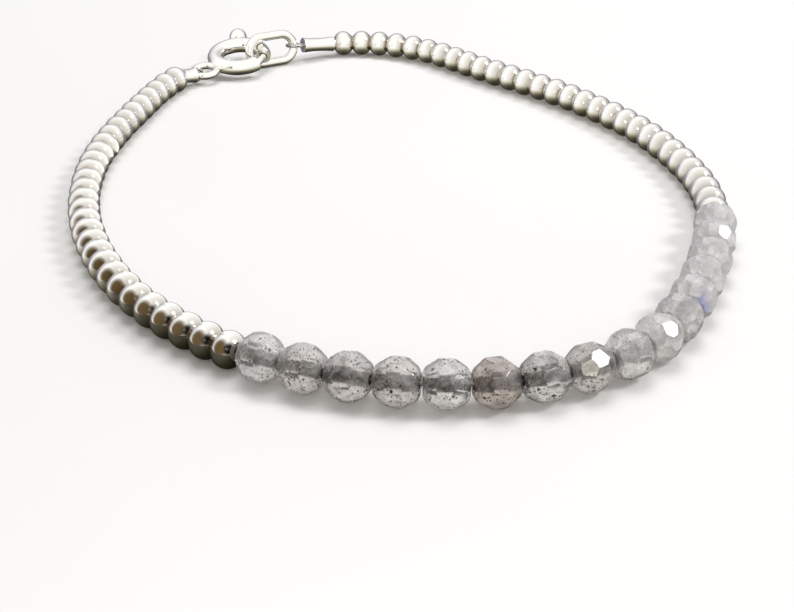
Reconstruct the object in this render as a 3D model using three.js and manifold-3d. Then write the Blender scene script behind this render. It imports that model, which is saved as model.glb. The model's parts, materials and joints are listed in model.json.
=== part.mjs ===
// A strung bracelet lying on its side: faceted stones and silver beads on one wire, closed by a bolt ring.
// Millimetres, +Z up. The origin is on the surface that it lies on, under the middle of its box.
import * as THREE from "three";
import { ConvexGeometry } from "three/addons/geometries/ConvexGeometry.js";
import { mergeVertices } from "three/addons/utils/BufferGeometryUtils.js";
import Module from "manifold-3d";

const wasm = await Module();
wasm.setup();

// The line of the loop seen from above, clockwise from the middle of the bolt ring.
// It gives the shape alone: its size follows from the length of what is strung on it.
const LOOP_PLAN = [
  { x: -15.4, y: 27.8 },
  { x: -4.8, y: 32.6 },
  { x: 2.2, y: 30.8 },
  { x: 9.5, y: 23.4 },
  { x: 17, y: 15 },
  { x: 22.2, y: 5.8 },
  { x: 24.5, y: -6 },
  { x: 22.1, y: -17.8 },
  { x: 15.6, y: -29.1 },
  { x: 6, y: -33 },
  { x: -5.8, y: -31 },
  { x: -16.4, y: -22.8 },
  { x: -22.6, y: -11.5 },
  { x: -24.8, y: 1 },
  { x: -23.2, y: 14 },
  { x: -20.5, y: 23 },
];

// Silver rondelles, each string of them one body with a bore all the way through
const BEAD = {
  diameter: 2.5,
  length: 1.91,
  neckDiameter: 1.24,
  boreDiameter: 1,
  sides: 12,
  ringsPerBead: 4,
  rightCount: 30,
  leftCount: 30,
};

// Drilled round stones, cut in rows of facets between a flat table at each end of the bore.
// A row's tilt is counted from the stone's girth towards its bore, its turn in facets, and its reach is the
// distance of its facets from the stone's middle, in half widths of the stone.
const STONE = {
  width: 3.05,
  length: 2.78,
  pitch: 2.965,
  boreDiameter: 1,
  boreSides: 8,
  count: 16,
  facetsPerRow: 10,
};
const FACET_ROWS = [
  { tilt: 0, turn: 0, reach: 1 },
  { tilt: 34, turn: 0.5, reach: 1 },
  { tilt: 62, turn: 0, reach: 1.015 },
];
const STRING_TO_STONE_GAP = 0.15;

// The stringing wire, doubled back through a crimp at each end
const WIRE = { diameter: 0.4, sides: 6, eyeGap: 0.12, eyeSteps: 4, pairGap: 0.12, tail: 0.4 };
const CRIMP = { rightLength: 3.4, leftLength: 1.4, outerDiameter: 1.5, boreDiameter: 1.16, sides: 12, gap: 0.2 };

// The bolt ring: angles in degrees round its own axis, from the side where the closed ring is hooked.
// Its mouth runs from mouthFrom to mouthTo, and the bolt's tip sits a little way into the far lip.
const CLASP = {
  height: 1.6,
  pitch: 4.5,
  roll: 8,
  rightReach: 10.6,
  leftReach: 7.3,
  outerDiameter: 6.4,
  tubeDiameter: 1.5,
  channelDiameter: 1.1,
  sides: 10,
  mouthFrom: -70,
  mouthTo: -30,
  channelEnd: 165,
  socketDepth: 8,
};
const BOLT = { diameter: 0.7, sides: 8, tip: -74, tail: 76, travel: 45 };
const KNOB = { angle: 70, stemDiameter: 0.5, stemClearance: 0.15, diameter: 1.8, standOff: 0.12 };
const END_LOOP = { wire: 0.7, middleDiameter: 2.2, seat: 1.1 };
const CLOSED_RING = { wire: 0.85, innerWidth: 1.8, straight: 2.2, roll: 80, wireSides: 6, bendSteps: 14 };

// How finely curves are worked out: degrees to a step of an arc, divisions of the loop's line when its length
// is measured, and the decimals to which a stone's corners are told apart
const ARC_STEP = 12;
const LINE_DIVISIONS = 1600;
const CORNER_DECIMALS = 3;
const UP = new THREE.Vector3(0, 0, 1);
const rad = THREE.MathUtils.degToRad;

const silver = new THREE.MeshStandardMaterial({ color: 0xd8d6d0, roughness: 0.15, metalness: 1 });
const steel = new THREE.MeshStandardMaterial({ color: 0xb4b6b8, roughness: 0.3, metalness: 1 });
const labradorite = new THREE.MeshStandardMaterial({ color: 0x9a9596, roughness: 0.2, metalness: 0 });

// A closed mesh as a solid for joining and cutting
function solid(geometry) {
  const bare = geometry.clone();
  bare.deleteAttribute("normal");
  bare.deleteAttribute("uv");
  const merged = mergeVertices(bare);
  const vertProperties = merged.getAttribute("position").array;
  const triVerts = Uint32Array.from(merged.getIndex().array);
  return new wasm.Manifold(new wasm.Mesh({ numProp: 3, vertProperties, triVerts }));
}

function geometryOf(body) {
  const { vertProperties, triVerts } = body.getMesh();
  const geometry = new THREE.BufferGeometry();
  geometry.setAttribute("position", new THREE.BufferAttribute(vertProperties, 3));
  geometry.setIndex(new THREE.BufferAttribute(triVerts, 1));
  geometry.computeVertexNormals();
  return geometry;
}

// A round bar with flat ends along a curve
function bar(curve, diameter, sides, steps) {
  const section = new THREE.Shape();
  const corners = [];
  for (let i = 0; i < sides; i++) {
    const angle = (2 * Math.PI * i) / sides;
    corners.push(new THREE.Vector2(Math.cos(angle), Math.sin(angle)).multiplyScalar(diameter / 2));
  }
  section.setFromPoints(corners);
  return new THREE.ExtrudeGeometry(section, { steps, extrudePath: curve });
}

// Part of a circle round Z
class RingArc extends THREE.Curve {
  constructor(radius, from, to) {
    super();
    this.radius = radius;
    this.from = rad(from);
    this.to = rad(to);
  }

  getPoint(t, target = new THREE.Vector3()) {
    const angle = THREE.MathUtils.lerp(this.from, this.to, t);
    return target.set(this.radius * Math.cos(angle), this.radius * Math.sin(angle), 0);
  }
}

function arcBar(radius, from, to, diameter, sides) {
  const steps = Math.ceil((to - from) / ARC_STEP);
  return bar(new RingArc(radius, from, to), diameter, sides, steps);
}

// A smooth line whose steps fall on its own points, so that they are close only where it bends
class PointedRoute extends THREE.CatmullRomCurve3 {
  getPointAt(u, target) {
    return this.getPoint(u, target);
  }

  getTangentAt(u, target) {
    return this.getTangent(u, target);
  }
}

// The loop's line, as long as everything strung on it
const rightStart = CLASP.rightReach;
const stoneStart = rightStart + BEAD.rightCount * BEAD.length + STRING_TO_STONE_GAP;
const leftStart = stoneStart + STONE.count * STONE.pitch + STRING_TO_STONE_GAP;
const leftEnd = leftStart + BEAD.leftCount * BEAD.length;
const strungLength = leftEnd + CLASP.leftReach;

function loopLine(scale) {
  const points = LOOP_PLAN.map(({ x, y }) => new THREE.Vector3(x * scale, y * scale, 0));
  const line = new THREE.CatmullRomCurve3(points, true);
  line.arcLengthDivisions = LINE_DIVISIONS;
  return line;
}
const loop = loopLine(strungLength / loopLine(1).getLength());

// The frame of a place on the loop: X to its right, Y along it, Z up
function frameAt(distance, height) {
  const u = distance / strungLength;
  const along = loop.getTangentAt(u);
  const side = new THREE.Vector3().crossVectors(along, UP);
  const point = loop.getPointAt(u).setZ(height);
  return new THREE.Matrix4().makeBasis(side, along, UP).setPosition(point);
}

function placeAt(distance, height) {
  return new THREE.Vector3().setFromMatrixPosition(frameAt(distance, height));
}

// Beads lie on the flat of their lowest side, and stones on their lowest facet
const beadHeight = BEAD.diameter / 2;
const stoneHeight = STONE.width / 2;

const bracelet = new THREE.Group();

function addMesh(group, name, geometry, material) {
  const mesh = new THREE.Mesh(geometry, material);
  mesh.name = name;
  group.add(mesh);
  return mesh;
}

// A straight string of beads, turned as one profile with its bore, then laid along the loop bead by bead.
// Each point of the profile has an anchor, the place on the string whose frame it keeps to.
function beadString(start, count) {
  const roundToCorner = 1 / Math.cos(Math.PI / BEAD.sides);
  const radius = (BEAD.diameter / 2) * roundToCorner;
  const boreRadius = (BEAD.boreDiameter / 2) * roundToCorner;
  const neckTurn = Math.acos(BEAD.neckDiameter / BEAD.diameter);
  const halfLength = BEAD.length / 2 / Math.sin(neckTurn);
  const profile = [];
  for (let ring = 0; ring <= count * BEAD.ringsPerBead; ring++) {
    const bead = Math.floor(ring / BEAD.ringsPerBead);
    const step = ring % BEAD.ringsPerBead;
    const middle = (bead + 0.5) * BEAD.length;
    const turn = neckTurn * ((2 * step) / BEAD.ringsPerBead - 1);
    const anchor = step === 0 ? bead * BEAD.length : middle;
    profile.push({ anchor, out: radius * Math.cos(turn), along: middle + halfLength * Math.sin(turn) });
  }
  for (let neck = count; neck >= 0; neck--) {
    const along = neck * BEAD.length;
    profile.push({ anchor: along, out: boreRadius, along });
  }
  profile.push(profile[0]);
  const outline = profile.map(({ out, along }) => new THREE.Vector2(out, along));
  const geometry = new THREE.LatheGeometry(outline, BEAD.sides, Math.PI / BEAD.sides);
  const corners = geometry.getAttribute("position");
  const corner = new THREE.Vector3();
  for (let i = 0; i < corners.count; i++) {
    const { anchor } = profile[i % profile.length];
    corner.fromBufferAttribute(corners, i);
    corner.y -= anchor;
    corner.applyMatrix4(frameAt(start + anchor, beadHeight));
    corners.setXYZ(i, ...corner);
  }
  return geometry;
}

// The solid that lies within all the given planes, each { normal, distance } from its middle.
// Each triangle of the hull of the planes' poles stands for one corner of it.
function cutByPlanes(planes) {
  const poles = planes.map(({ normal, distance }) => normal.clone().divideScalar(distance));
  const hull = new ConvexGeometry(poles).getAttribute("position");
  const corners = new Map();
  const triangle = new THREE.Triangle();
  for (let i = 0; i < hull.count; i += 3) {
    triangle.setFromAttributeAndIndices(hull, i, i + 1, i + 2);
    const normal = triangle.getNormal(new THREE.Vector3());
    const corner = normal.divideScalar(normal.dot(triangle.a));
    corners.set(corner.toArray().map((value) => value.toFixed(CORNER_DECIMALS)).join(), corner);
  }
  return new ConvexGeometry([...corners.values()]);
}

// A drilled stone along Y, with one facet of its girth facing down
function stoneGeometry() {
  const planes = [];
  for (const end of [-1, 1]) {
    planes.push({ normal: new THREE.Vector3(0, end, 0), distance: STONE.length / 2 });
    for (const { tilt, turn, reach } of FACET_ROWS) {
      for (let facet = 0; facet < STONE.facetsPerRow; facet++) {
        const angle = (2 * Math.PI * (facet + turn)) / STONE.facetsPerRow;
        const out = Math.cos(rad(tilt));
        const along = end * Math.sin(rad(tilt));
        const normal = new THREE.Vector3(out * Math.sin(angle), along, -out * Math.cos(angle));
        planes.push({ normal, distance: (reach * STONE.width) / 2 });
      }
    }
  }
  const boreRadius = STONE.boreDiameter / 2;
  const bore = new THREE.CylinderGeometry(boreRadius, boreRadius, STONE.pitch, STONE.boreSides);
  return geometryOf(solid(cutByPlanes(planes)).subtract(solid(bore)));
}

addMesh(bracelet, "right_bead_string", beadString(rightStart, BEAD.rightCount), silver);
addMesh(bracelet, "left_bead_string", beadString(leftStart, BEAD.leftCount), silver);

const stone = stoneGeometry();
for (let i = 0; i < STONE.count; i++) {
  const name = `stone_${String(i + 1).padStart(2, "0")}`;
  const middle = stoneStart + (i + 0.5) * STONE.pitch;
  addMesh(bracelet, name, stone, labradorite).applyMatrix4(frameAt(middle, stoneHeight));
}

// The clasp's own line runs from the middle of the bolt ring towards the right-hand string
const hub = placeAt(0, CLASP.height);
const rightSeat = placeAt(rightStart, beadHeight);
const leftSeat = placeAt(leftEnd, beadHeight);
const azimuth = Math.atan2(rightSeat.y - hub.y, rightSeat.x - hub.x);
const endLoopAngle = Math.atan2(leftSeat.y - hub.y, leftSeat.x - hub.x) - azimuth;
const clasp = new THREE.Group();
clasp.position.copy(hub);
clasp.rotation.z = azimuth;
const boltRing = new THREE.Group();
boltRing.rotation.set(rad(CLASP.roll), -rad(CLASP.pitch), 0, "ZYX");
clasp.add(boltRing);

const tubeMiddle = (CLASP.outerDiameter - CLASP.tubeDiameter) / 2;
const tubeOutside = CLASP.outerDiameter / 2;
const endLoopMiddle = tubeOutside + END_LOOP.seat;

// A slot through the tube's outer wall, as wide as the knob's stem needs over the bolt's travel
function knobSlot() {
  const halfWidth = KNOB.stemDiameter / 2 + KNOB.stemClearance;
  const spare = halfWidth / tubeMiddle;
  const from = rad(KNOB.angle) - spare;
  const to = rad(KNOB.angle + BOLT.travel) + spare;
  const plan = new THREE.Shape();
  plan.absarc(0, 0, tubeOutside + KNOB.standOff, from, to, false);
  plan.absarc(0, 0, tubeMiddle, to, from, true);
  const curveSegments = Math.ceil(BOLT.travel / ARC_STEP);
  const slot = new THREE.ExtrudeGeometry(plan, { depth: 2 * halfWidth, bevelEnabled: false, curveSegments });
  return slot.translate(0, 0, -halfWidth);
}

function claspRing() {
  const lip = CLASP.mouthFrom + 360;
  const overrun = 1;
  const tube = arcBar(tubeMiddle, CLASP.mouthTo, lip, CLASP.tubeDiameter, CLASP.sides);
  const channel = arcBar(
    tubeMiddle, CLASP.mouthTo - overrun, CLASP.channelEnd, CLASP.channelDiameter, BOLT.sides,
  );
  const socket = arcBar(tubeMiddle, lip - CLASP.socketDepth, lip + overrun, CLASP.channelDiameter, BOLT.sides);
  const loopRing = new THREE.TorusGeometry(
    END_LOOP.middleDiameter / 2, END_LOOP.wire / 2, CLOSED_RING.wireSides, CLOSED_RING.bendSteps,
  );
  loopRing.translate(endLoopMiddle, 0, 0).rotateZ(endLoopAngle);
  const hollow = solid(tube).add(solid(loopRing)).subtract(solid(channel)).subtract(solid(socket));
  return geometryOf(hollow.subtract(solid(knobSlot())));
}

function claspBolt() {
  const pin = arcBar(tubeMiddle, BOLT.tip, BOLT.tail, BOLT.diameter, BOLT.sides);
  const knobMiddle = tubeOutside + KNOB.standOff + KNOB.diameter / 2;
  const stemLength = knobMiddle - tubeMiddle;
  const stemRadius = KNOB.stemDiameter / 2;
  const stem = new THREE.CylinderGeometry(stemRadius, stemRadius, stemLength, BOLT.sides);
  stem.rotateZ(-Math.PI / 2).translate(tubeMiddle + stemLength / 2, 0, 0).rotateZ(rad(KNOB.angle));
  const knob = new THREE.SphereGeometry(KNOB.diameter / 2, CLASP.sides, BOLT.sides);
  knob.translate(knobMiddle, 0, 0).rotateZ(rad(KNOB.angle));
  return geometryOf(solid(pin).add(solid(stem)).add(solid(knob)));
}

// An oval link: a round one parted across its middle, with the two halves drawn straight apart. The middle of
// its left bend is where the bolt ring's tube goes through it.
function closedRing() {
  const middleRadius = (CLOSED_RING.innerWidth + CLOSED_RING.wire) / 2;
  const link = new THREE.TorusGeometry(
    middleRadius, CLOSED_RING.wire / 2, CLOSED_RING.wireSides, CLOSED_RING.bendSteps,
  );
  const corners = link.getAttribute("position");
  for (let i = 0; i < corners.count; i++) {
    corners.setX(i, corners.getX(i) + (Math.sign(corners.getX(i)) * CLOSED_RING.straight) / 2);
  }
  return link.translate(CLOSED_RING.straight / 2, 0, 0).rotateX(rad(CLOSED_RING.roll));
}

addMesh(boltRing, "clasp_ring", claspRing(), silver);
addMesh(boltRing, "clasp_bolt", claspBolt(), silver);
const link = addMesh(clasp, "closed_ring", closedRing(), silver);
link.position.set(tubeMiddle, 0, 0).applyEuler(boltRing.rotation);
bracelet.add(clasp);
bracelet.updateMatrixWorld(true);

// An eye of the wire round a link, from the string's end face at seat: through the crimp, out along one
// strand, round the far side of the link's wire at anchor, and back into the crimp along the other strand
function wireEye(anchor, seat, spread, linkWire, crimpLength) {
  const along = new THREE.Vector3().subVectors(seat, anchor);
  const reach = along.length();
  along.normalize();
  const across = spread.clone().projectOnPlane(along).normalize();
  const at = (u, v) => anchor.clone().addScaledVector(along, u).addScaledVector(across, v);
  const turn = (linkWire + WIRE.diameter) / 2 + WIRE.eyeGap;
  const strand = (WIRE.diameter + WIRE.pairGap) / 2;
  const inner = reach - CRIMP.gap;
  const outer = inner - crimpLength;
  const points = [at(inner, -strand), at(outer, -strand)];
  for (let step = 0; step <= WIRE.eyeSteps; step++) {
    const angle = Math.PI * (1.5 - step / WIRE.eyeSteps);
    points.push(at(turn * Math.cos(angle), turn * Math.sin(angle)));
  }
  points.push(at(outer, strand), at(inner - WIRE.tail, strand));
  return { points, along, crimpStart: at(outer, 0), crimpLength };
}

function addCrimp(name, { along, crimpStart, crimpLength }) {
  const profile = [
    new THREE.Vector2(CRIMP.boreDiameter / 2, 0),
    new THREE.Vector2(CRIMP.outerDiameter / 2, 0),
    new THREE.Vector2(CRIMP.outerDiameter / 2, crimpLength),
    new THREE.Vector2(CRIMP.boreDiameter / 2, crimpLength),
  ];
  const crimp = addMesh(bracelet, name, new THREE.LatheGeometry([...profile, profile[0]], CRIMP.sides), silver);
  crimp.quaternion.setFromUnitVectors(new THREE.Vector3(0, 1, 0), along);
  crimp.position.copy(crimpStart);
}

const linkEnd = CLOSED_RING.straight + (CLOSED_RING.innerWidth + CLOSED_RING.wire) / 2;
const rightAnchor = new THREE.Vector3(linkEnd, 0, 0).applyMatrix4(link.matrixWorld);
const rightSpread = UP.clone().applyAxisAngle(new THREE.Vector3(1, 0, 0), rad(CLOSED_RING.roll));
rightSpread.transformDirection(link.matrixWorld);
const endLoopOutside = endLoopMiddle + END_LOOP.middleDiameter / 2;
const leftAnchor = new THREE.Vector3(endLoopOutside, 0, 0).applyAxisAngle(UP, endLoopAngle);
leftAnchor.applyMatrix4(boltRing.matrixWorld);
const leftSpread = UP.clone().transformDirection(boltRing.matrixWorld);

const rightEye = wireEye(rightAnchor, rightSeat, rightSpread, CLOSED_RING.wire, CRIMP.rightLength);
const leftEye = wireEye(leftAnchor, leftSeat, leftSpread, END_LOOP.wire, CRIMP.leftLength);
addCrimp("right_crimp", rightEye);
addCrimp("left_crimp", leftEye);

// The wire runs through the middle of every bead and stone, from one eye to the other
function middles(start, count, pitch, height) {
  return Array.from({ length: count }, (_, i) => placeAt(start + (i + 0.5) * pitch, height));
}
const wireRoute = new PointedRoute([
  ...rightEye.points.toReversed(),
  ...middles(rightStart, BEAD.rightCount, BEAD.length, beadHeight),
  ...middles(stoneStart, STONE.count, STONE.pitch, stoneHeight),
  ...middles(leftStart, BEAD.leftCount, BEAD.length, beadHeight),
  ...leftEye.points,
]);
const wireGeometry = bar(wireRoute, WIRE.diameter, WIRE.sides, wireRoute.points.length - 1);
addMesh(bracelet, "stringing_wire", wireGeometry, steel);

// The middle of the whole box goes over the origin
const middle = new THREE.Box3().setFromObject(bracelet, true).getCenter(new THREE.Vector3());
bracelet.position.set(-middle.x, -middle.y, 0);
const part = new THREE.Group();
part.add(bracelet);

export default part;
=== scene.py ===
"""Looks of the strung bracelet: polished silver beads, cut grey stones, bolt ring clasp and beading wire.

Metres, +Z up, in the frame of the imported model: the bracelet lies on z = 0, its clasp at the back left."""

import json
import math
import random

import bmesh
import bpy
from mathutils import Matrix, Vector


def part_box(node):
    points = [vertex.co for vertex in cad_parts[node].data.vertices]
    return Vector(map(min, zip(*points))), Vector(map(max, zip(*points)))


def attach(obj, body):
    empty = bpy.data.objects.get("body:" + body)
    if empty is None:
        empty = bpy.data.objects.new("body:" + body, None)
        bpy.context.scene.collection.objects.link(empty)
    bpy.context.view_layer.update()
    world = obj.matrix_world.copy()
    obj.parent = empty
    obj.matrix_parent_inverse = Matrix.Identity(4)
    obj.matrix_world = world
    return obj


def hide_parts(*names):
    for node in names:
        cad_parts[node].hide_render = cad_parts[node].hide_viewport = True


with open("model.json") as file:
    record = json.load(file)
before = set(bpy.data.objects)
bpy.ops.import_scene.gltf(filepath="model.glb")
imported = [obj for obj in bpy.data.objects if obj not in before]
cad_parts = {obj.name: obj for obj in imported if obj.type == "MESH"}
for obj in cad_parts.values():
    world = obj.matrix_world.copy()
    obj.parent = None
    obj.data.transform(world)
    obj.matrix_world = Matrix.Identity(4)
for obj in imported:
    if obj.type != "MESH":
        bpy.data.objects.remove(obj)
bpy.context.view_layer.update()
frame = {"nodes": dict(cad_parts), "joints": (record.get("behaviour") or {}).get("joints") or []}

MM = 0.001
UP = Vector((0, 0, 1))

# Points as near to each other as WELD are one, and points as near to z = 0 as ON_TABLE lie on the table
WELD = 0.0005 * MM
ON_TABLE = 0.001 * MM

# Photograph's view: its frame in pixels, the camera's place, and its angles in degrees
PHOTO_WIDTH = 794
FOCAL_PIXELS = 1246
SENSOR_WIDTH_MM = 36
CAMERA_PLACE = Vector((0.42, -94.35, 42.15)) * MM
CAMERA_DOWN = 29.74
CAMERA_ROLL = -0.8

# Silver rondelles. Each string of them is one body, joined at the necks. They lean and differ in size
# by chance, and edges stay sharp above sharp_deg.
BEAD = {
    "radius": 1.25 * MM,
    "neck": 0.62 * MM,
    "bore": 0.35 * MM,
    "half_length": 0.955 * MM,
    "rings": 13,
    "sides": 40,
    "lean_deg": 1.6,
    "uneven": 0.012,
    "sharp_deg": 40,
}

# Cut stones. A row's tilt is counted from the stone's girth towards its bore, its turn in facets, and its
# reach is the distance of its facets from the stone's middle, in radii of the stone.
STONE = {
    "radius": 1.525 * MM,
    "half_length": 1.43 * MM,
    "bore": 0.35 * MM,
    "bore_sides": 20,
    "mouth": 0.06 * MM,
    "edge": 0.018 * MM,
}
FACETS_PER_ROW = 10
FACET_ROWS = [
    {"tilt": 0, "turn": 0, "reach": 1.0},
    {"tilt": 33, "turn": 0.5, "reach": 1.0},
    {"tilt": 61, "turn": 0, "reach": 1.05},
]
FACET_WANDER_DEG = 3.0
FACET_DEPTH_WANDER = 0.012

# How each stone differs from a clear grey one: how milky and how warm it is, the way in which a blue flash
# faces, a sheen painted into the colour of those facets, and whether it lies with a facet that mirrors the
# window to the photograph's view
STONE_LOOKS = {
    "stone_01": {"milk": 1},
    "stone_02": {"milk": 1, "gleams": True},
    "stone_03": {"milk": 0.95},
    "stone_04": {"milk": 0.95},
    "stone_05": {"milk": 0.9, "painted_flash_towards": Vector((0.07, -0.97, 0.22))},
    "stone_06": {"milk": 0.6},
    "stone_07": {"milk": 0.75, "gleams": True},
    "stone_08": {"milk": 0.32},
    "stone_09": {"milk": 0.1, "warmth": 0.4, "gleams": True},
    "stone_10": {"milk": 0},
    "stone_11": {"milk": 0, "warmth": 0.9},
    "stone_12": {"milk": 0},
    "stone_13": {"milk": 0, "warmth": 0.3},
    "stone_14": {"milk": 0, "warmth": 0.2},
    "stone_15": {"milk": 0.05, "warmth": 0.2},
    "stone_16": {"milk": 0.2},
}
# A flash, a blue sheen painted into the colour, covers the facets that face within this angle of its way
PAINTED_FLASH_SPREAD_DEG = 18
PAINTED_FLASH_STRENGTH = 0.75
# Turns about its wire that are tried for each stone, over the width of one facet
TURNS_TRIED = 24

# The bolt ring: angles in degrees round its own axis, from the side where the oval link is hooked
BOLT_RING = {
    "pitch": 4.5,
    "middle": 2.45 * MM,
    "tube": 0.75 * MM,
    "wall": 0.33 * MM,
    "mouth_from": -70,
    "mouth_to": -30,
    "sides": 26,
}
# The knob's slot is as wide as this many of the tube's sides
SLOT = {"from": 60, "to": 125, "columns": 6}
BOLT = {"radius": 0.35 * MM, "tip": -74, "tail": 76, "bluntness": 0.3, "sides": 16}
KNOB = {
    "angle": 70,
    "stem": 0.25 * MM,
    "stem_sides": 16,
    "radius": 0.9 * MM,
    "middle": 4.22 * MM,
    "meridians": 32,
    "parallels": 18,
}
END_LOOP = {"wire": 0.35 * MM, "middle": 1.1 * MM, "from_hub": 4.3 * MM, "sides": 16}
OVAL_LINK = {"wire": 0.425 * MM, "bend": 1.325 * MM, "straight": 2.2 * MM, "lean_deg": 80, "sides": 20}
CLASP_SHARP_DEG = 50
ARC_STEP_DEG = 5

# The crimps are pinched by this share of their width, most in the middle
CRIMP = {
    "right_length": 3.4 * MM,
    "left_length": 1.4 * MM,
    "radius": 0.75 * MM,
    "wall": 0.25 * MM,
    "pinch": 0.12,
    "steps": 10,
    "sides": 28,
    "sharp_deg": 40,
}
# The CAD wire's triangles are joined to four-sided faces where they are this even, and then rounded off
WIRE = {"flat_deg": 50, "square_deg": 60, "rounding": 2}

# Square soft lights: the lit window that the silver and some facets of the stones mirror, a small lamp by
# the camera, and a lamp overhead that no polish mirrors
WINDOW = {"place": Vector((310, -20, 310)) * MM, "size": 110 * MM, "power": 0.8, "colour": "ffffff"}
CAMERA_LAMP = {"place": CAMERA_PLACE * 1.15, "size": 25 * MM, "power": 0.012, "colour": "fff6e4"}
OVERHEAD = {"place": Vector((0, 90, 330)) * MM, "size": 200 * MM, "power": 0.62, "colour": "ffffff"}

# The white room: its colour from straight down, 0, through level, 0.5, to straight up, 1, the colour that
# dims it low down at the back, and the strengths at which polish and matt surfaces get its light
ROOM_BY_HEIGHT = [
    (0.0, "35322a"),
    (0.12, "6e6b59"),
    (0.25, "bdb9a6"),
    (0.36, "efece2"),
    (0.5, "ffffff"),
]
ROOM_LOW_BACK = "8a8795"
ROOM_STRENGTH = 1.1
ROOM_FILL = 0.5

# Round cards that the front left beads mirror, each with the point that it faces and, in radii, how far its
# paint is full, and a white screen inside the loop that keeps them out of the beads behind it
FRONT_LEFT = Vector((-15, -27, 1)) * MM
CARDS = {
    "tan_card": {
        "place": Vector((-28, -40, 11)) * MM,
        "faces": FRONT_LEFT,
        "radius": 45 * MM,
        "colour": "6f5933",
    },
    "black_card": {
        "place": Vector((-4, -45, 10)) * MM,
        "faces": FRONT_LEFT,
        "radius": 22 * MM,
        "colour": "07070b",
    },
    "olive_card": {
        "place": Vector((-18, -36, 0.02)) * MM,
        "faces": Vector((-18, -36, 1000)) * MM,
        "radius": 30 * MM,
        "colour": "3a372c",
    },
}
CARD_SIDES = 32
CARD_FULL_SHARE = 0.3
SCREEN = {"start": Vector((-23, 6, 0.1)) * MM, "end": Vector((14, -24.5, 0.1)) * MM, "height": 40 * MM}
TABLE_SIZE = 4000 * MM

chance = random.Random(16)


def linear(code):
    """An sRGB colour such as "d8d6d0" as linear red, green, blue and alpha."""
    shares = [int(code[i : i + 2], 16) / 255 for i in (0, 2, 4)]
    return [s / 12.92 if s <= 0.04045 else ((s + 0.055) / 1.055) ** 2.4 for s in shares] + [1]


def add_node(tree, kind, inputs=None, **settings):
    """Adds a node with its settings. Its inputs are set to values or linked to sockets."""
    made = tree.nodes.new(kind)
    for name, value in settings.items():
        setattr(made, name, value)
    for name, value in (inputs or {}).items():
        if isinstance(value, bpy.types.NodeSocket):
            tree.links.new(value, made.inputs[name])
        else:
            made.inputs[name].default_value = value
    return made


def new_material(name):
    material = bpy.data.materials.new(name)
    material.use_nodes = True
    material.node_tree.nodes.clear()
    return material


def finish_material(tree, surface):
    add_node(tree, "ShaderNodeOutputMaterial", {"Surface": surface.outputs["BSDF"]})


# Materials


def polished_silver():
    """Tumbled and polished sterling silver: a bright mirror, faintly rubbed, with painted shade, dark and
    warm, in the necks.
    """
    material = new_material("polished_sterling_silver")
    tree = material.node_tree
    where = add_node(tree, "ShaderNodeTexCoord").outputs["Object"]
    rubbing = add_node(
        tree,
        "ShaderNodeTexNoise",
        {"Vector": where, "Scale": 1 / (0.5 * MM), "Detail": 4, "Roughness": 0.6},
    )
    # Painted shade: how deep each point lies in a neck between beads, 1 at the string's ends and in the bore
    neck_shade = add_node(tree, "ShaderNodeAttribute", attribute_name="neck_shade")
    painted_neck_shade = add_node(
        tree,
        "ShaderNodeMapRange",
        {"Value": neck_shade.outputs["Fac"], "From Min": 0.25, "From Max": 1, "To Min": 0, "To Max": 0.75},
    )
    # Painted shade: the colour turns a dark warm brown towards the necks between beads
    colour = add_node(
        tree,
        "ShaderNodeMix",
        {"Factor": painted_neck_shade.outputs["Result"], "A": linear("f7f5f0"), "B": linear("8f8063")},
        data_type="RGBA",
    )
    rough = add_node(
        tree,
        "ShaderNodeMapRange",
        {
            "Value": rubbing.outputs["Fac"],
            "From Min": 0.35,
            "From Max": 0.7,
            "To Min": 0.05,
            "To Max": 0.12,
        },
    )
    dents = add_node(
        tree, "ShaderNodeBump", {"Strength": 0.06, "Distance": 0.02 * MM, "Height": rubbing.outputs["Fac"]}
    )
    metal = add_node(
        tree,
        "ShaderNodeBsdfPrincipled",
        {
            "Base Color": colour.outputs["Result"],
            "Metallic": 1,
            "Roughness": rough.outputs["Result"],
            "Normal": dents.outputs["Normal"],
        },
    )
    finish_material(tree, metal)
    return material


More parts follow.
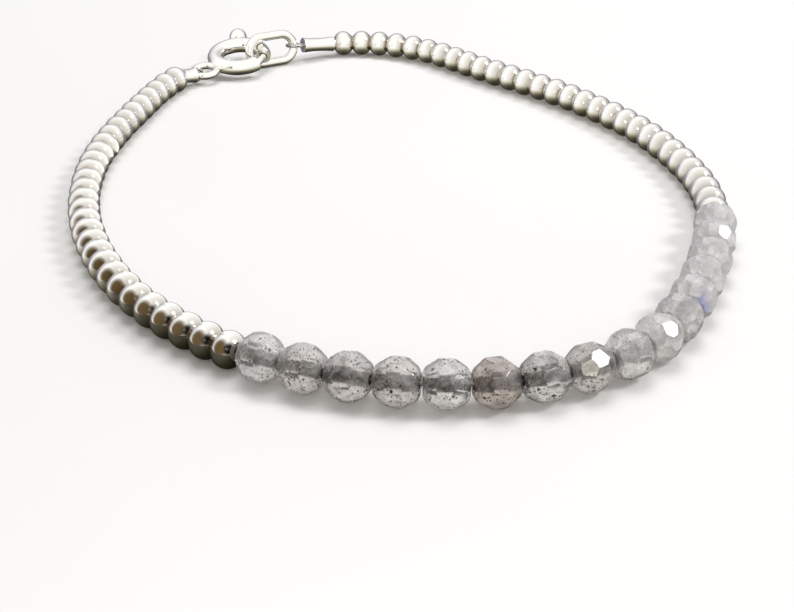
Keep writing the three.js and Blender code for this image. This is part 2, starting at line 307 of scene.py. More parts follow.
def cloudy_labradorite():
    """Cut and polished grey feldspar, from clear to milky, with pale clouds, a smoky grain, ragged dark
    specks in the clear parts and rare blue flashes, a sheen painted into the colour. Its polish is sharper
    than what is seen through it."""
    material = new_material("cloudy_grey_labradorite")
    tree = material.node_tree
    where = add_node(tree, "ShaderNodeTexCoord").outputs["Object"]
    milk = add_node(tree, "ShaderNodeAttribute", attribute_name="milk").outputs["Fac"]
    warmth = add_node(tree, "ShaderNodeAttribute", attribute_name="warmth").outputs["Fac"]
    painted_flash = add_node(tree, "ShaderNodeAttribute", attribute_name="painted_flash").outputs["Fac"]
    clouds = add_node(
        tree,
        "ShaderNodeTexNoise",
        {"Vector": where, "Scale": 1 / (0.9 * MM), "Detail": 5, "Roughness": 0.65},
    )
    ragged = add_node(tree, "ShaderNodeTexNoise", {"Vector": where, "Scale": 1 / (0.2 * MM), "Detail": 2})
    shifted = add_node(
        tree,
        "ShaderNodeVectorMath",
        {0: ragged.outputs["Color"], 1: [0.12 * MM] * 3, 2: where},
        operation="MULTIPLY_ADD",
    )
    patches = add_node(tree, "ShaderNodeTexNoise", {"Vector": where, "Scale": 1 / (1.1 * MM), "Detail": 2})
    # Fine and coarse specks: their spacing, the largest share of places that hold one,
    # and their reach in spacings
    speck = 0
    for spacing, share, reach in ((0.2 * MM, 1, 0.42), (0.5 * MM, 0.7, 0.3)):
        cells = add_node(
            tree, "ShaderNodeTexVoronoi", {"Vector": shifted.outputs["Vector"], "Scale": 1 / spacing}
        )
        near = add_node(
            tree,
            "ShaderNodeMapRange",
            {
                "Value": cells.outputs["Distance"],
                "From Min": reach / 2,
                "From Max": reach,
                "To Min": 1,
                "To Max": 0,
            },
        )
        lot = add_node(tree, "ShaderNodeSeparateColor", {"Color": cells.outputs["Color"]})
        here = add_node(
            tree,
            "ShaderNodeMapRange",
            {
                "Value": patches.outputs["Fac"],
                "From Min": 0.4,
                "From Max": 0.6,
                "To Min": 0.15,
                "To Max": share,
            },
        )
        picked = add_node(
            tree,
            "ShaderNodeMath",
            {0: lot.outputs["Red"], 1: here.outputs["Result"]},
            operation="LESS_THAN",
        )
        dot = add_node(
            tree,
            "ShaderNodeMath",
            {0: near.outputs["Result"], 1: picked.outputs["Value"]},
            operation="MULTIPLY",
        )
        speck = add_node(tree, "ShaderNodeMath", {0: dot.outputs["Value"], 1: speck}, operation="MAXIMUM")
        speck = speck.outputs["Value"]
    in_milk = add_node(tree, "ShaderNodeMapRange", {"Value": milk, "To Min": 1, "To Max": 0.12})
    shown = add_node(tree, "ShaderNodeMath", {0: speck, 1: in_milk.outputs["Result"]}, operation="MULTIPLY")
    body = add_node(
        tree,
        "ShaderNodeMix",
        {"Factor": milk, "A": linear("f8f6f4"), "B": linear("f4f2f2")},
        data_type="RGBA",
    )
    warmed = add_node(
        tree,
        "ShaderNodeMix",
        {"Factor": warmth, "A": body.outputs["Result"], "B": linear("c4b2a6")},
        data_type="RGBA",
    )
    grain = add_node(
        tree,
        "ShaderNodeTexNoise",
        {"Vector": where, "Scale": 1 / (0.22 * MM), "Detail": 4, "Roughness": 0.7},
    )
    smoke = add_node(
        tree, "ShaderNodeMapRange", {"Value": grain.outputs["Fac"], "From Min": 0.56, "From Max": 0.4}
    )
    smoky = add_node(tree, "ShaderNodeMapRange", {"Value": milk, "To Min": 1, "To Max": 0.45})
    smoke_shown = add_node(
        tree,
        "ShaderNodeMath",
        {0: smoke.outputs["Result"], 1: smoky.outputs["Result"]},
        operation="MULTIPLY",
    )
    grained = add_node(
        tree,
        "ShaderNodeMix",
        {"Factor": smoke_shown.outputs["Value"], "A": warmed.outputs["Result"], "B": linear("c2bcb9")},
        data_type="RGBA",
    )
    dark = add_node(
        tree,
        "ShaderNodeMix",
        {"Factor": shown.outputs["Value"], "A": grained.outputs["Result"], "B": linear("1c1917")},
        data_type="RGBA",
    )
    # Painted sheen: a blue flash painted into the colour of the facets marked for it
    colour = add_node(
        tree,
        "ShaderNodeMix",
        {"Factor": painted_flash, "A": dark.outputs["Result"], "B": linear("8a90dc")},
        data_type="RGBA",
    )
    clearest = add_node(tree, "ShaderNodeMapRange", {"Value": milk, "To Min": 1, "To Max": 0.6})
    cloudiest = add_node(tree, "ShaderNodeMapRange", {"Value": milk, "To Min": 0.7, "To Max": 0.3})
    clear = add_node(
        tree,
        "ShaderNodeMapRange",
        {
            "Value": clouds.outputs["Fac"],
            "From Min": 0.4,
            "From Max": 0.68,
            "To Min": clearest.outputs["Result"],
            "To Max": cloudiest.outputs["Result"],
        },
    )
    between_specks = add_node(
        tree,
        "ShaderNodeMath",
        {0: clear.outputs["Result"], 1: shown.outputs["Value"]},
        operation="SUBTRACT",
        use_clamp=True,
    )
    blur = add_node(tree, "ShaderNodeMapRange", {"Value": milk, "To Min": 0.28, "To Max": 0.34})
    glassy = add_node(
        tree,
        "ShaderNodeBsdfPrincipled",
        {
            "Base Color": colour.outputs["Result"],
            "Roughness": blur.outputs["Result"],
            "IOR": 1.56,
            "Transmission Weight": between_specks.outputs["Value"],
            "Coat Weight": 0.5,
            "Coat Roughness": 0.02,
            "Coat IOR": 1.56,
        },
    )
    finish_material(tree, glassy)
    return material


def shaded_bore():
    """The wall of a drilled hole in stone: matt and gritty, painted dark for the shade inside the hole, and
    seen through the stone as a dark band.
    """
    material = new_material("stone_bore_painted_shade")
    tree = material.node_tree
    where = add_node(tree, "ShaderNodeTexCoord").outputs["Object"]
    grit = add_node(tree, "ShaderNodeTexNoise", {"Vector": where, "Scale": 1 / (0.12 * MM), "Detail": 3})
    # Painted shade: the gritty mottle is the stone's own, the near black to dark grey is the shade inside
    # the hole
    colour = add_node(
        tree,
        "ShaderNodeMix",
        {"Factor": grit.outputs["Fac"], "A": linear("2a2725"), "B": linear("5a5653")},
        data_type="RGBA",
    )
    matt = add_node(
        tree, "ShaderNodeBsdfPrincipled", {"Base Color": colour.outputs["Result"], "Roughness": 0.85}
    )
    finish_material(tree, matt)
    return material


def coated_wire():
    """Stranded steel beading wire in clear nylon: grey, with the strands' twist under a smooth gloss."""
    material = new_material("nylon_coated_beading_wire")
    tree = material.node_tree
    where = add_node(tree, "ShaderNodeTexCoord").outputs["Object"]
    twist = add_node(
        tree,
        "ShaderNodeTexWave",
        {"Vector": where, "Scale": 1 / (0.25 * MM) / math.tau, "Distortion": 1.5, "Detail": 1},
        bands_direction="DIAGONAL",
    )
    colour = add_node(
        tree,
        "ShaderNodeMix",
        {"Factor": twist.outputs["Fac"], "A": linear("7d7c7a"), "B": linear("c9c7c3")},
        data_type="RGBA",
    )
    strands = add_node(
        tree, "ShaderNodeBump", {"Strength": 0.3, "Distance": 0.03 * MM, "Height": twist.outputs["Fac"]}
    )
    steel = add_node(
        tree,
        "ShaderNodeBsdfPrincipled",
        {
            "Base Color": colour.outputs["Result"],
            "Metallic": 0.85,
            "Roughness": 0.3,
            "Coat Weight": 0.6,
            "Normal": strands.outputs["Normal"],
        },
    )
    finish_material(tree, steel)
    return material


def plain_matt(name, pale, dark, grain):
    """A plain painted board with a barely seen mottle of the given grain."""
    material = new_material(name)
    tree = material.node_tree
    where = add_node(tree, "ShaderNodeTexCoord").outputs["Object"]
    mottle = add_node(tree, "ShaderNodeTexNoise", {"Vector": where, "Scale": 1 / grain, "Detail": 3})
    colour = add_node(
        tree,
        "ShaderNodeMix",
        {"Factor": mottle.outputs["Fac"], "A": linear(pale), "B": linear(dark)},
        data_type="RGBA",
    )
    paint = add_node(
        tree, "ShaderNodeBsdfPrincipled", {"Base Color": colour.outputs["Result"], "Roughness": 0.9}
    )
    finish_material(tree, paint)
    return material


# Making pieces


def new_piece(name, shape, materials, body, replaced):
    """Turns a bmesh into an object of the bracelet that rides on a body in place of a CAD node."""
    mesh = bpy.data.meshes.new(name)
    shape.to_mesh(mesh)
    shape.free()
    for material in materials:
        mesh.materials.append(material)
    piece = bpy.data.objects.new(name, mesh)
    bpy.context.scene.collection.objects.link(piece)
    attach(piece, body)
    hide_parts(replaced)
    return piece


def smooth(piece, sharp_deg):
    piece.data.shade_smooth()
    piece.data.set_sharp_from_angle(angle=math.radians(sharp_deg))


def ring_place(middle, along):
    """A place for a ring round the given line, its X axis level and its Z axis along the line."""
    z = along.normalized()
    x = UP.cross(z).normalized()
    return Matrix.Translation(middle) @ Matrix((x, z.cross(x), z)).transposed().to_4x4()


def loft(shape, stations, sides, closed=False):
    """A ring at each (place, radius) station, each joined to the next. Returns the rings' vertices."""
    rings = []
    for place, radius in stations:
        made = bmesh.ops.create_circle(shape, segments=sides, radius=radius, matrix=place)
        rings.append(made["verts"])
    following = rings[1:] + rings[:1] if closed else rings[1:]
    loops = {id(ring): list({edge for vert in ring for edge in vert.link_edges}) for ring in rings}
    for near, far in zip(rings, following):
        bmesh.ops.bridge_loops(shape, edges=loops[id(near)] + loops[id(far)])
    return rings


def close_ends(shape):
    rims = [edge for edge in shape.edges if edge.is_boundary]
    bmesh.ops.holes_fill(shape, edges=rims)


def face_outwards(shape):
    bmesh.ops.remove_doubles(shape, verts=shape.verts, dist=WELD)
    bmesh.ops.recalc_face_normals(shape, faces=shape.faces)


# Places of what is strung, read from the frame


def bead_places(node, start):
    """The ring place of each bead of a string, in order from its end nearest to start.
    The edge that a CAD bead rests on lies across the string, under the bead's middle."""
    lowest = {v.co.copy().freeze() for v in frame["nodes"][node].data.vertices if v.co.z < ON_TABLE}
    edges = []
    while lowest:
        one = lowest.pop()
        other = min(lowest, key=lambda point: (point - one).length)
        lowest.remove(other)
        edges.append(((one + other) / 2, other - one))
    places = []
    here = start
    while edges:
        nearest = min(edges, key=lambda edge: (edge[0] - here).length)
        edges.remove(nearest)
        middle, across = nearest
        along = UP.cross(across)
        if along.dot(middle - here) < 0:
            along.negate()
        places.append(ring_place(middle + UP * BEAD["radius"], along))
        here = middle
    return places


def node_middle(node):
    low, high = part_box(node)
    return (low + high) / 2


def along_of(place):
    return place.col[2].to_3d()


hub = Vector(frame["joints"][0]["pos_m"])
hub_axis = Vector(frame["joints"][0]["axis"]).normalized()
right_places = bead_places("right_bead_string", hub)
left_places = bead_places("left_bead_string", node_middle("stone_16"))
right_end = right_places[0].translation - along_of(right_places[0]) * BEAD["half_length"]
left_end = left_places[-1].translation + along_of(left_places[-1]) * BEAD["half_length"]


# Silver beads


def silver_string(name, node, places):
    """A string of rondelles, turned bead by bead from one neck to the next, and back through the bore."""
    neck_turn = math.acos(BEAD["neck"] / BEAD["radius"])
    full_half = BEAD["half_length"] / math.sin(neck_turn)
    outside = []
    neck_shades = []
    for place in places:
        lean = [math.radians(chance.gauss(0, BEAD["lean_deg"])) for _ in "xy"]
        size = 1 - abs(chance.gauss(0, BEAD["uneven"]))
        bead = place @ Matrix.Rotation(lean[0], 4, "X") @ Matrix.Rotation(lean[1], 4, "Y")
        for ring in range(BEAD["rings"]):
            turn = neck_turn * ((2 * ring + 1) / BEAD["rings"] - 1)
            along = full_half * math.sin(turn)
            radius = size * BEAD["radius"] * math.cos(turn)
            outside.append((bead @ Matrix.Translation((0, 0, along)), radius))
            # How deep in the neck this ring lies, for the painted shade
            neck_shades.append(abs(turn) / neck_turn)
    to_end = Vector((0, 0, BEAD["half_length"]))
    first = places[0] @ Matrix.Translation(-to_end)
    last = places[-1] @ Matrix.Translation(to_end)
    stations = [(first, BEAD["neck"]), *outside, (last, BEAD["neck"]), (last, BEAD["bore"])]
    stations += [(place, BEAD["bore"]) for place in reversed(places)]
    stations += [(first, BEAD["bore"])]
    # The end necks and the bore get the full painted shade
    neck_shades = [1, *neck_shades] + [1] * (len(stations) - len(outside) - 1)
    shape = bmesh.new()
    neck_shade_layer = shape.verts.layers.float.new("neck_shade")
    for ring, neck_shade in zip(loft(shape, stations, BEAD["sides"], closed=True), neck_shades):
        for vert in ring:
            vert[neck_shade_layer] = neck_shade
    face_outwards(shape)
    piece = new_piece(name, shape, [silver], "bracelet", node)
    smooth(piece, BEAD["sharp_deg"])


# Cut stones


def stone_planes():
    """Facets of one stone as (outward normal, distance from its middle), a little uneven as cut by hand."""
    planes = []
    for end in (-1, 1):
        for row in FACET_ROWS:
            for facet in range(FACETS_PER_ROW):
                angle = math.tau * (facet + row["turn"]) / FACETS_PER_ROW
                wander = [math.radians(chance.gauss(0, FACET_WANDER_DEG)) for _ in "at"]
                tilt = math.radians(row["tilt"]) + wander[1]
                around = angle + wander[0]
                level = math.cos(tilt)
                normal = Vector((level * math.cos(around), level * math.sin(around), end * math.sin(tilt)))
                depth = row["reach"] - abs(chance.gauss(0, FACET_DEPTH_WANDER))
                planes.append((normal, STONE["radius"] * depth))
    return planes


def cut_flat(shape, point, normal):
    """Cuts away what lies beyond a plane, and closes the cut with one flat face."""
    made = bmesh.ops.bisect_plane(
        shape,
        geom=shape.verts[:] + shape.edges[:] + shape.faces[:],
        plane_co=point,
        plane_no=normal,
        clear_outer=True,
    )
    rim = [item for item in made["geom_cut"] if isinstance(item, bmesh.types.BMEdge)]
    if rim:
        bmesh.ops.contextual_create(shape, geom=rim)


def drill(shape, ends):
    """Opens the two end tables to the bore, each by a short funnel, and lines it."""
    middle = (ends[0].translation + ends[1].translation) / 2
    rings = []
    for end in ends:
        table = min(shape.faces, key=lambda face: (face.calc_center_median() - end.translation).length)
        rim = table.edges[:]
        bmesh.ops.delete(shape, geom=[table], context="FACES_ONLY")
        inside = Matrix.Translation((middle - end.translation).normalized() * STONE["mouth"]) @ end
        made = bmesh.ops.create_circle(
            shape, segments=STONE["bore_sides"], radius=STONE["bore"], matrix=inside
        )
        rings.append(list({edge for vert in made["verts"] for edge in vert.link_edges}))
        bmesh.ops.bridge_loops(shape, edges=rim + rings[-1])
    walls = bmesh.ops.bridge_loops(shape, edges=rings[0] + rings[1])["faces"]
    for wall in walls:
        wall.material_index = 1


def lay_stone(place, normals, gleams):
    """Axes of a stone, turned about its wire until no facet mirrors the window to the photograph's view.
    A stone that gleams is turned until one nearly does, and then leant to mirror it."""
    middle = place.translation
    halfway = (CAMERA_PLACE - middle).normalized() + (WINDOW["place"] - middle).normalized()
    start = chance.uniform(0, math.tau)
    tries = []
    for step in range(TURNS_TRIED):
        turn = Matrix.Rotation(start + math.tau * step / FACETS_PER_ROW / TURNS_TRIED, 4, "Z")
        axes = (place @ turn).to_3x3()
        nearest = min((axes @ normal for normal in normals), key=halfway.angle)
        tries.append((halfway.angle(nearest), nearest, axes))
    if not gleams:
        return max(tries, key=lambda tried: tried[0])[2]
    _, nearest, axes = min(tries, key=lambda tried: tried[0])
    return nearest.rotation_difference(halfway).to_matrix() @ axes


def cut_stone(node, along):
    """A stone cut plane by plane out of a block and lying on the table, with eased edges and its bore."""
    place = ring_place(node_middle(node), along)
    place.translation.z = STONE["radius"]
    looks = STONE_LOOKS[node]
    planes = stone_planes()
    axes = lay_stone(place, [normal for normal, _ in planes], looks.get("gleams", False))
    shape = bmesh.new()
    bmesh.ops.create_cube(shape, size=4 * STONE["radius"], matrix=place)
    for normal, distance in planes:
        outwards = axes @ normal
        cut_flat(shape, place.translation + outwards * distance, outwards)
    cut_flat(shape, Vector((0, 0, 0)), -UP)
    ends = [place @ Matrix.Translation((0, 0, side * STONE["half_length"])) for side in (-1, 1)]
    for end, side in zip(ends, (-1, 1)):
        cut_flat(shape, end.translation, along_of(place) * side)
    face_outwards(shape)
    bmesh.ops.bevel(
        shape,
        geom=shape.edges[:],
        offset=STONE["edge"],
        affect="EDGES",
        segments=1,
        profile=0.5,
        material=-1,
        clamp_overlap=True,
    )
    drill(shape, ends)
    face_outwards(shape)
    for look in ("milk", "warmth"):
        layer = shape.verts.layers.float.new(look)
        for vert in shape.verts:
            vert[layer] = looks.get(look, 0)
    # Painted sheen: facets that face the flash's way get a blue flash painted into their colour
    painted_flash_layer = shape.verts.layers.float.new("painted_flash")
    if "painted_flash_towards" in looks:
        for face in shape.faces:
            if face.normal.angle(looks["painted_flash_towards"]) < math.radians(PAINTED_FLASH_SPREAD_DEG):
                for vert in face.verts:
                    vert[painted_flash_layer] = PAINTED_FLASH_STRENGTH
    name = node.replace("stone", "faceted_stone")
    new_piece(name, shape, [labradorite, shaded_bore_wall], "bracelet", node)


# Clasp

to_right = right_end - hub
azimuth = math.atan2(to_right.y, to_right.x)
level_turn = Matrix.Rotation(azimuth, 4, "Z")
clasp_x = level_turn @ Matrix.Rotation(-math.radians(BOLT_RING["pitch"]), 4, "Y") @ Vector((1, 0, 0))
clasp_axes = Matrix((clasp_x, hub_axis.cross(clasp_x), hub_axis)).transposed()
clasp_place = Matrix.Translation(hub) @ clasp_axes.to_4x4()


def on_arc(frame_place, radius, degrees):
    """The place of a ring round an arc about the Z axis of a frame."""
    turned = frame_place @ Matrix.Rotation(math.radians(degrees), 4, "Z")
    return turned @ Matrix.Translation((radius, 0, 0)) @ Matrix.Rotation(-math.pi / 2, 4, "X")


def arc_angles(start, end):
    steps = math.ceil((end - start) / ARC_STEP_DEG)
    return [start + (end - start) * step / steps for step in range(steps + 1)]


def round_link(shape, frame_place, radius, wire, sides):
    stations = [(on_arc(frame_place, radius, angle), wire) for angle in arc_angles(0, 360)[:-1]]
    loft(shape, stations, sides, closed=True)


def bolt_ring():
    """The hollow ring: a tube with an open mouth and a slot for the knob, and its soldered end loop."""
    shape = bmesh.new()
    angles = arc_angles(BOLT_RING["mouth_to"], BOLT_RING["mouth_from"] + 360)
    stations = [(on_arc(clasp_place, BOLT_RING["middle"], angle), BOLT_RING["tube"]) for angle in angles]
    loft(shape, stations, BOLT_RING["sides"])
    bmesh.ops.recalc_face_normals(shape, faces=shape.faces)
    to_clasp = clasp_place.inverted()
    slot_reach = BOLT_RING["tube"] * math.sin(math.pi * SLOT["columns"] / BOLT_RING["sides"])
    slot = []
    for face in shape.faces:
        middle = to_clasp @ face.calc_center_median()
        angle = math.degrees(math.atan2(middle.y, middle.x))
        outside = middle.xy.length > BOLT_RING["middle"]
        if SLOT["from"] < angle < SLOT["to"] and outside and abs(middle.z) < slot_reach:
            slot.append(face)
    bmesh.ops.delete(shape, geom=slot, context="FACES")
    bmesh.ops.solidify(shape, geom=shape.faces[:], thickness=BOLT_RING["wall"])
    to_left = left_end - hub
    loop_turn = Matrix.Rotation(math.atan2(to_left.y, to_left.x) - azimuth, 4, "Z")
    loop_place = clasp_place @ loop_turn @ Matrix.Translation((END_LOOP["from_hub"], 0, 0))
    round_link(shape, loop_place, END_LOOP["middle"], END_LOOP["wire"], END_LOOP["sides"])
    face_outwards(shape)
    piece = new_piece("bolt_ring", shape, [silver], "bracelet", "clasp_ring")
    smooth(piece, CLASP_SHARP_DEG)


def bolt_with_knob():
    """The sprung bolt that closes the mouth, with the stem and ball that draw it back."""
    shape = bmesh.new()
    tip_angle = math.degrees(BOLT["radius"] / BOLT_RING["middle"])
    stations = []
    for angle in arc_angles(BOLT["tip"], BOLT["tail"]):
        from_tip = min((angle - BOLT["tip"]) / tip_angle, 1)
        rounded = max(math.sqrt(1 - (1 - from_tip) ** 2), BOLT["bluntness"])
        stations.append((on_arc(clasp_place, BOLT_RING["middle"], angle), BOLT["radius"] * rounded))
    loft(shape, stations, BOLT["sides"])
    knob_place = clasp_place @ Matrix.Rotation(math.radians(KNOB["angle"]), 4, "Z")
    knob_place = knob_place @ Matrix.Rotation(math.pi / 2, 4, "Y")
    stem_foot = knob_place @ Matrix.Translation((0, 0, BOLT_RING["middle"]))
    ball_middle = knob_place @ Matrix.Translation((0, 0, KNOB["middle"]))
    loft(shape, [(end, KNOB["stem"]) for end in (stem_foot, ball_middle)], KNOB["stem_sides"])
    close_ends(shape)
    bmesh.ops.create_uvsphere(
        shape,
        u_segments=KNOB["meridians"],
        v_segments=KNOB["parallels"],
        radius=KNOB["radius"],
        matrix=ball_middle,
    )
    face_outwards(shape)
    piece = new_piece("bolt_and_knob", shape, [silver], "trigger", "clasp_bolt")
    smooth(piece, CLASP_SHARP_DEG)


def oval_link():
    """The closed link that the bolt ring is hooked into: a round wire bent to an oval and soldered shut."""
    shape = bmesh.new()
    hooked_at = hub + clasp_x * BOLT_RING["middle"]
    lean = Matrix.Rotation(math.radians(OVAL_LINK["lean_deg"]), 4, "X")
    near = Matrix.Translation(hooked_at) @ level_turn @ lean
    far = near @ Matrix.Translation((OVAL_LINK["straight"], 0, 0))
    rings = [on_arc(near, OVAL_LINK["bend"], angle) for angle in arc_angles(90, 270)]
    rings += [on_arc(far, OVAL_LINK["bend"], angle) for angle in arc_angles(-90, 90)]
    loft(shape, [(ring, OVAL_LINK["wire"]) for ring in rings], OVAL_LINK["sides"], closed=True)
    face_outwards(shape)
    piece = new_piece("oval_link", shape, [silver], "bracelet", "closed_ring")
    smooth(piece, CLASP_SHARP_DEG)


# Crimps and wire


def crimp_tube(name, node, string_end, length):
    """A short tube pressed shut on the doubled wire, so that it is pinched in along its middle."""
    middle = node_middle(node)
    place = ring_place(middle, string_end - middle)
    shape = bmesh.new()
    outside = []
    for step in range(CRIMP["steps"] + 1):
        share = 2 * step / CRIMP["steps"] - 1
        pinch = CRIMP["pinch"] * (1 - share * share)
        flat = Matrix.Diagonal((1 + pinch / 2, 1 - pinch, 1, 1))
        outside.append((place @ Matrix.Translation((0, 0, share * length / 2)) @ flat, CRIMP["radius"]))
    inside = [(ring, CRIMP["radius"] - CRIMP["wall"]) for ring, _ in reversed(outside)]
    loft(shape, outside + inside, CRIMP["sides"], closed=True)
    face_outwards(shape)
    piece = new_piece(name, shape, [silver], "bracelet", node)
    smooth(piece, CRIMP["sharp_deg"])


def beading_wire():
    """The wire keeps the CAD wire's route, with its six sides and its bends rounded off."""
    shape = bmesh.new()
    shape.from_mesh(frame["nodes"]["stringing_wire"].data)
    bmesh.ops.remove_doubles(shape, verts=shape.verts, dist=WELD)
    bmesh.ops.join_triangles(
        shape,
        faces=shape.faces,
        angle_face_threshold=math.radians(WIRE["flat_deg"]),
        angle_shape_threshold=math.radians(WIRE["square_deg"]),
    )
    piece = new_piece("beading_wire", shape, [wire], "bracelet", "stringing_wire")
    rounding = piece.modifiers.new("rounding", "SUBSURF")
    rounding.levels = WIRE["rounding"]
    rounding.render_levels = WIRE["rounding"]
    piece.data.shade_smooth()


# Stage


def stage_piece(name, shape, material):
    mesh = bpy.data.meshes.new(name)
    shape.to_mesh(mesh)
    shape.free()
    mesh.materials.append(material)
    made = bpy.data.objects.new(name, mesh)
    bpy.context.scene.collection.objects.link(made)
    return made


def only_mirrored(stage):
    """Leaves a stage piece to be seen in polish alone."""
    stage.visible_camera = False
    stage.visible_diffuse = False
    stage.visible_transmission = False
    stage.visible_shadow = False


def pale_table():
    """A plain pale table top. Polish sees the room's floor in its place."""
    shape = bmesh.new()
    bmesh.ops.create_grid(shape, x_segments=1, y_segments=1, size=TABLE_SIZE / 2)
    paint = plain_matt("pale_table_board", "e4e3e2", "e0dfde", 40 * MM)
    table = stage_piece("pale_table", shape, paint)
    table.visible_glossy = False


def soft_light(name, look):
    """A square soft light that faces the middle of the bracelet."""
    data = bpy.data.lights.new(name, "AREA")
    data.shape = "SQUARE"
    data.size = look["size"]
    data.energy = look["power"]
    data.color = linear(look["colour"])[:3]
    lamp = bpy.data.objects.new(name, data)
    lamp.location = look["place"]
    lamp.rotation_mode = "QUATERNION"
    lamp.rotation_quaternion = (-look["place"]).to_track_quat("-Z", "Y")
    lamp.visible_transmission = False
    bpy.context.scene.collection.objects.link(lamp)
    return lamp


def soft_paint(name, look):
    """Matt paint that fades away from a card's middle, so that the card shows no edge in the polish."""
    material = plain_matt(name, look["colour"], look["colour"], 30 * MM)
    tree = material.node_tree
    paint = next(node for node in tree.nodes if node.type == "BSDF_PRINCIPLED")
    where = add_node(tree, "ShaderNodeTexCoord").outputs["Object"]
    away = add_node(tree, "ShaderNodeVectorMath", {0: where, 1: look["place"]}, operation="DISTANCE")
    fade = add_node(
        tree,
        "ShaderNodeMapRange",
        {
            "Value": away.outputs["Value"],
            "From Min": look["radius"] * CARD_FULL_SHARE,
            "From Max": look["radius"],
            "To Min": 1,
            "To Max": 0,
        },
        interpolation_type="SMOOTHSTEP",
    )
    tree.links.new(fade.outputs["Result"], paint.inputs["Alpha"])
    return material


def card(name, look):
    """A round card that faces a point, cut off at the table."""
    shape = bmesh.new()
    turned = (look["faces"] - look["place"]).to_track_quat("Z", "Y").to_matrix().to_4x4()
    bmesh.ops.create_circle(
        shape,
        segments=CARD_SIDES,
        radius=look["radius"],
        cap_ends=True,
        matrix=Matrix.Translation(look["place"]) @ turned,
    )
    whole = shape.verts[:] + shape.edges[:] + shape.faces[:]
    bmesh.ops.bisect_plane(shape, geom=whole, plane_co=(0, 0, 0), plane_no=-UP, clear_outer=True)
    only_mirrored(stage_piece(name, shape, soft_paint(name + "_paint", look)))


def white_screen():
    """A glowing white screen inside the loop, which keeps the cards out of the beads behind it."""
    material = new_material("white_screen_cloth")
    tree = material.node_tree
    glow = add_node(tree, "ShaderNodeEmission", {"Color": linear("ffffff"), "Strength": ROOM_STRENGTH})
    add_node(tree, "ShaderNodeOutputMaterial", {"Surface": glow.outputs["Emission"]})
    across = SCREEN["end"] - SCREEN["start"]
    upright = UP * SCREEN["height"]
    axes = Matrix((across, upright, across.cross(UP))).transposed().to_4x4()
    middle = Matrix.Translation((SCREEN["start"] + SCREEN["end"] + upright) / 2)
    shape = bmesh.new()
    bmesh.ops.create_grid(shape, x_segments=1, y_segments=1, size=0.5, matrix=middle @ axes)
    only_mirrored(stage_piece("white_screen", shape, material))


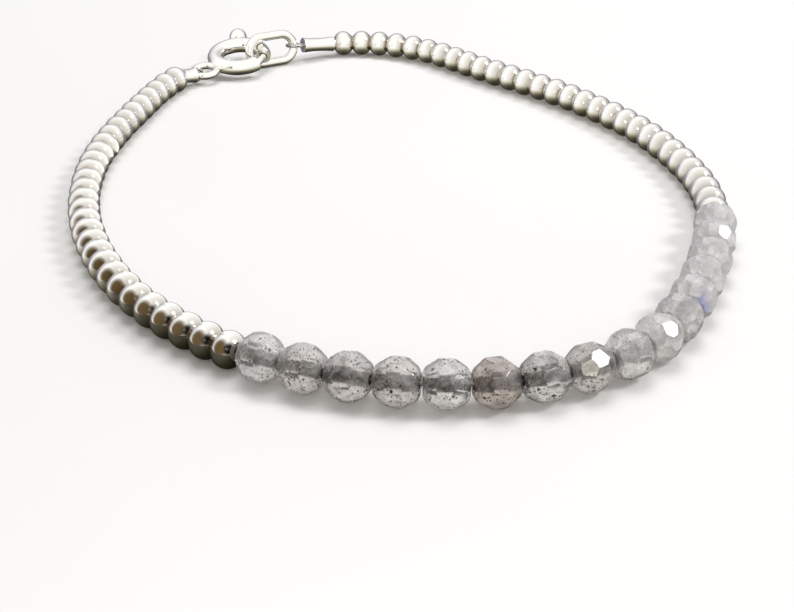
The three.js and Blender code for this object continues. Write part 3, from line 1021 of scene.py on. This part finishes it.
def room():
    """An even white room, in polish dimmer low down at the back. Its dark floor shows only in polish, and
    matt surfaces get less of its light."""
    world = bpy.data.worlds.new("white_room")
    world.use_nodes = True
    tree = world.node_tree
    tree.nodes.clear()
    way = add_node(tree, "ShaderNodeTexCoord").outputs["Generated"]
    parts = add_node(tree, "ShaderNodeSeparateXYZ", {"Vector": way}).outputs
    height = add_node(tree, "ShaderNodeMapRange", {"Value": parts["Z"], "From Min": -1, "From Max": 1})
    ramp = add_node(tree, "ShaderNodeValToRGB", {"Fac": height.outputs["Result"]})
    stops = ramp.color_ramp.elements
    for place, _ in ROOM_BY_HEIGHT[2:]:
        stops.new(place)
    for stop, (place, colour) in zip(stops, ROOM_BY_HEIGHT):
        stop.position = place
        stop.color = linear(colour)
    low = add_node(
        tree,
        "ShaderNodeMapRange",
        {"Value": parts["Z"], "From Min": 0.05, "From Max": 0.75, "To Min": 1, "To Max": 0},
    )
    back = add_node(tree, "ShaderNodeMapRange", {"Value": parts["Y"], "From Min": 0.1, "From Max": 0.5})
    low_back = add_node(
        tree, "ShaderNodeMath", {0: low.outputs["Result"], 1: back.outputs["Result"]}, operation="MULTIPLY"
    )
    ray = add_node(tree, "ShaderNodeLightPath").outputs
    mirrored = add_node(
        tree,
        "ShaderNodeMath",
        {0: low_back.outputs["Value"], 1: ray["Is Reflection Ray"]},
        operation="MULTIPLY",
    )
    colour = add_node(
        tree,
        "ShaderNodeMix",
        {"Factor": mirrored.outputs["Value"], "A": ramp.outputs["Color"], "B": linear(ROOM_LOW_BACK)},
        data_type="RGBA",
        blend_type="MULTIPLY",
    )
    strength = add_node(
        tree,
        "ShaderNodeMapRange",
        {"Value": ray["Is Diffuse Ray"], "To Min": ROOM_STRENGTH, "To Max": ROOM_FILL},
    )
    light = add_node(
        tree,
        "ShaderNodeBackground",
        {"Color": colour.outputs["Result"], "Strength": strength.outputs["Result"]},
    )
    add_node(tree, "ShaderNodeOutputWorld", {"Surface": light.outputs["Background"]})
    bpy.context.scene.world = world


def studio():
    """A pale table under soft light in a white room, with cards and a screen that the silver mirrors."""
    pale_table()
    for name, look in CARDS.items():
        card(name, look)
    white_screen()
    soft_light("window", WINDOW)
    soft_light("camera_lamp", CAMERA_LAMP)
    overhead = soft_light("overhead", OVERHEAD)
    overhead.visible_glossy = False
    room()
    bpy.context.scene.view_settings.view_transform = "Standard"


def photograph_camera():
    data = bpy.data.cameras.new("photograph_view")
    data.sensor_fit = "HORIZONTAL"
    data.sensor_width = SENSOR_WIDTH_MM
    data.lens = SENSOR_WIDTH_MM * FOCAL_PIXELS / PHOTO_WIDTH
    data.clip_start = 1 * MM
    camera = bpy.data.objects.new("photograph_view", data)
    tilt = Matrix.Rotation(math.radians(90 - CAMERA_DOWN), 4, "X")
    roll = Matrix.Rotation(math.radians(CAMERA_ROLL), 4, "Z")
    camera.matrix_world = Matrix.Translation(CAMERA_PLACE) @ tilt @ roll
    bpy.context.scene.collection.objects.link(camera)
    bpy.context.scene.camera = camera


silver = polished_silver()
labradorite = cloudy_labradorite()
shaded_bore_wall = shaded_bore()
wire = coated_wire()

photograph_camera()
studio()
silver_string("silver_beads_right", "right_bead_string", right_places)
silver_string("silver_beads_left", "left_bead_string", left_places)
stone_nodes = list(STONE_LOOKS)
strung = [right_places[-1].translation, *map(node_middle, stone_nodes), left_places[0].translation]
for node, before, after in zip(stone_nodes, strung, strung[2:]):
    way = (after - before).to_2d().to_3d()
    cut_stone(node, way)
bolt_ring()
bolt_with_knob()
oval_link()
crimp_tube("crimp_right", "right_crimp", right_end, CRIMP["right_length"])
crimp_tube("crimp_left", "left_crimp", left_end, CRIMP["left_length"])
beading_wire()
